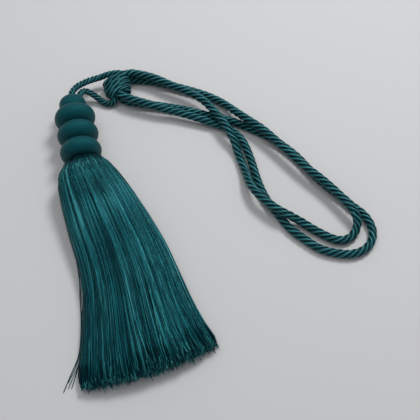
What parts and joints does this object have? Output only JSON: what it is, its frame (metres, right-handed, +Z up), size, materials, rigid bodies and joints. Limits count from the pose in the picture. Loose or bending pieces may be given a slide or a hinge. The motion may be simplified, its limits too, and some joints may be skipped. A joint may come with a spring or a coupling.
{
  "type": "curtain tieback tassel",
  "caption": "Curtain tieback: a thread-wound tassel head with a long cut skirt, tied by thin twisted cord to a thick rope ring that it pinches into two loops, lying flat.",
  "frame": {"origin": "centre of the underside of the tassel's bounding box (head and skirt), on the surface it lies on", "axes": "+Z up from the surface, +Y from the cut end of the skirt towards the head, +X towards the rope loops"},
  "size_m": [0.2967, 0.3246, 0.0381],
  "materials": {
    "wound_thread": "satin rayon thread wound tightly in fine crossing turns over a turned core",
    "skirt_thread": "silky cut threads hanging side by side",
    "twisted_cord": "satin twisted cord"
  },
  "bodies": {
    "root": {"head_cap": "wound_thread", "head_bead_1": "wound_thread", "head_bead_2": "wound_thread", "head_bead_3": "wound_thread", "skirt": "skirt_thread", "knot": "twisted_cord", "rope_inner": "twisted_cord", "rope_outer": "twisted_cord", "lead_upper": "twisted_cord", "lead_lower": "twisted_cord"}
  },
  "joints": []
}
